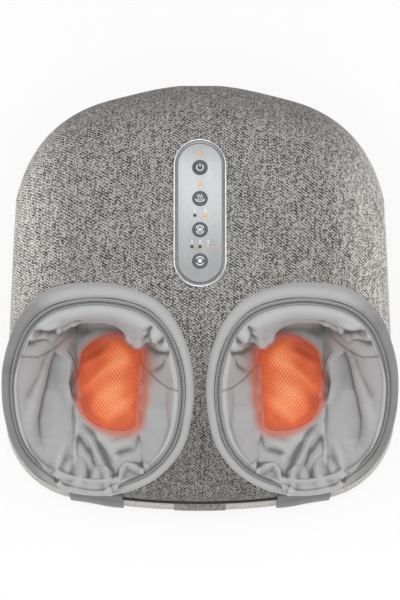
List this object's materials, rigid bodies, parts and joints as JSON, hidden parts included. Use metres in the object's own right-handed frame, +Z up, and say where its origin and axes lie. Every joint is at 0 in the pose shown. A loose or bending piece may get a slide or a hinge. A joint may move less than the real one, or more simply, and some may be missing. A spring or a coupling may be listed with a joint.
{
  "type": "foot massager",
  "caption": "Heated shiatsu foot massager for two feet, with cloth cover, zipped foot liners, kneading heads, air bags and a button panel.",
  "frame": {"origin": "on the floor under the middle of the base", "axes": "+Z up, +X to the right of the person who uses it, +Y away from that person"},
  "size_m": [0.394, 0.4057, 0.1948],
  "materials": {
    "base_plastic": "moulded black plastic, fine texture",
    "foot_rubber": "soft black rubber",
    "screw_steel": "plain steel",
    "band_cloth": "beige-grey cloth strip",
    "piping_cloth": "dark welt",
    "shell_plastic": "moulded plastic, unpainted inside",
    "cover_cloth": "heathered grey linen weave",
    "socket_plastic": "black plastic",
    "board": "green board",
    "pump_plastic": "moulded plastic",
    "hose_rubber": "soft grey hose",
    "bezel_chrome": "bright rim",
    "plate_metal": "brushed along its length",
    "button_plastic": "dark grey satin cap with a light icon",
    "lens_lit": "lit orange lens",
    "lens_dark": "dark lens",
    "collar_cloth": "smooth light grey cloth over foam",
    "zip_tape": "grey tape and coil",
    "flap_cloth": "dark grey cloth",
    "liner_cloth": "smooth light grey lining",
    "mesh_cloth": "open mesh, lit orange from below",
    "heater_film": "flat heater film",
    "airbag_film": "welded film",
    "inner_plastic": "moulded plastic",
    "drive_steel": "plain steel",
    "motor_steel": "drawn steel can",
    "gear_plastic": "white nylon",
    "kneading_head": "soft red-brown rubber"
  },
  "bodies": {
    "housing": {"base_tray": "base_plastic", "rubber_feet": "foot_rubber", "base_screws": "screw_steel", "base_band": "band_cloth", "seam_piping": "piping_cloth", "hood_shell": "shell_plastic", "fabric_cover": "cover_cloth", "power_inlet": "socket_plastic", "main_board": "board", "air_pump": "pump_plastic", "valve_block": "pump_plastic", "air_hoses": "hose_rubber", "panel_bezel": "bezel_chrome", "panel_plate": "plate_metal", "control_board": "board", "lit_lenses": "lens_lit", "unlit_lenses": "lens_dark", "right_collar": "collar_cloth", "right_zipper": "zip_tape", "right_heel_flap": "flap_cloth", "right_liner": "liner_cloth", "right_mesh_panel": "mesh_cloth", "right_heater_film": "heater_film", "right_airbag": "airbag_film", "right_foot_well": "inner_plastic", "right_gearbox_case": "inner_plastic", "right_drive_plate": "drive_steel", "right_motor": "motor_steel", "left_collar": "collar_cloth", "left_zipper": "zip_tape", "left_heel_flap": "flap_cloth", "left_liner": "liner_cloth", "left_mesh_panel": "mesh_cloth", "left_heater_film": "heater_film", "left_airbag": "airbag_film", "left_foot_well": "inner_plastic", "left_gearbox_case": "inner_plastic", "left_drive_plate": "drive_steel", "left_motor": "motor_steel"},
    "power_button": {"power_button": "button_plastic"},
    "heat_button": {"heat_button": "button_plastic"},
    "intensity_button": {"intensity_button": "button_plastic"},
    "mode_button": {"mode_button": "button_plastic"},
    "right_front_kneader": {"right_front_disc": "gear_plastic", "right_front_heads": "kneading_head"},
    "right_rear_kneader": {"right_rear_disc": "gear_plastic", "right_rear_heads": "kneading_head"},
    "right_gear": {"right_drive_gear": "gear_plastic"},
    "right_worm": {"right_worm_shaft": "drive_steel"},
    "left_front_kneader": {"left_front_disc": "gear_plastic", "left_front_heads": "kneading_head"},
    "left_rear_kneader": {"left_rear_disc": "gear_plastic", "left_rear_heads": "kneading_head"},
    "left_gear": {"left_drive_gear": "gear_plastic"},
    "left_worm": {"left_worm_shaft": "drive_steel"}
  },
  "joints": [
    {"name": "power_press", "type": "slide", "parent": "housing", "child": "power_button", "axis": [0, 0.2164, -0.9763], "range_m": [0, 0.0008], "stiffness_N_per_m": 600, "springref_m": -0.0005},
    {"name": "heat_press", "type": "slide", "parent": "housing", "child": "heat_button", "axis": [0, 0.2164, -0.9763], "range_m": [0, 0.0008], "stiffness_N_per_m": 600, "springref_m": -0.0005},
    {"name": "intensity_press", "type": "slide", "parent": "housing", "child": "intensity_button", "axis": [0, 0.2164, -0.9763], "range_m": [0, 0.0008], "stiffness_N_per_m": 600, "springref_m": -0.0005},
    {"name": "mode_press", "type": "slide", "parent": "housing", "child": "mode_button", "axis": [0, 0.2164, -0.9763], "range_m": [0, 0.0008], "stiffness_N_per_m": 600, "springref_m": -0.0005},
    {"name": "right_front_turn", "type": "hinge", "parent": "housing", "child": "right_front_kneader", "pos_m": [0.09, -0.04, 0.04], "axis": [0, 0, 1], "continuous": true},
    {"name": "right_rear_turn", "type": "hinge", "parent": "housing", "child": "right_rear_kneader", "pos_m": [0.09, 0.05, 0.04], "axis": [0, 0, 1], "continuous": true},
    {"name": "right_gear_turn", "type": "hinge", "parent": "housing", "child": "right_gear", "pos_m": [0.09, 0.005, 0.04], "axis": [0, 0, 1], "continuous": true},
    {"name": "right_worm_turn", "type": "hinge", "parent": "housing", "child": "right_worm", "pos_m": [0.07125, 0.005, 0.023], "axis": [0, 1, 0], "continuous": true},
    {"name": "left_front_turn", "type": "hinge", "parent": "housing", "child": "left_front_kneader", "pos_m": [-0.09, -0.04, 0.04], "axis": [0, 0, 1], "continuous": true},
    {"name": "left_rear_turn", "type": "hinge", "parent": "housing", "child": "left_rear_kneader", "pos_m": [-0.09, 0.05, 0.04], "axis": [0, 0, 1], "continuous": true},
    {"name": "left_gear_turn", "type": "hinge", "parent": "housing", "child": "left_gear", "pos_m": [-0.09, 0.005, 0.04], "axis": [0, 0, 1], "continuous": true},
    {"name": "left_worm_turn", "type": "hinge", "parent": "housing", "child": "left_worm", "pos_m": [-0.07125, 0.005, 0.023], "axis": [0, 1, 0], "continuous": true}
  ],
  "couplings": [
    {"joint": "right_rear_turn", "follows": "right_front_turn", "ratio": 1},
    {"joint": "right_gear_turn", "follows": "right_front_turn", "ratio": -2.6},
    {"joint": "right_worm_turn", "follows": "right_front_turn", "ratio": -57.2},
    {"joint": "left_rear_turn", "follows": "left_front_turn", "ratio": 1},
    {"joint": "left_gear_turn", "follows": "left_front_turn", "ratio": -2.6},
    {"joint": "left_worm_turn", "follows": "left_front_turn", "ratio": -57.2}
  ]
}
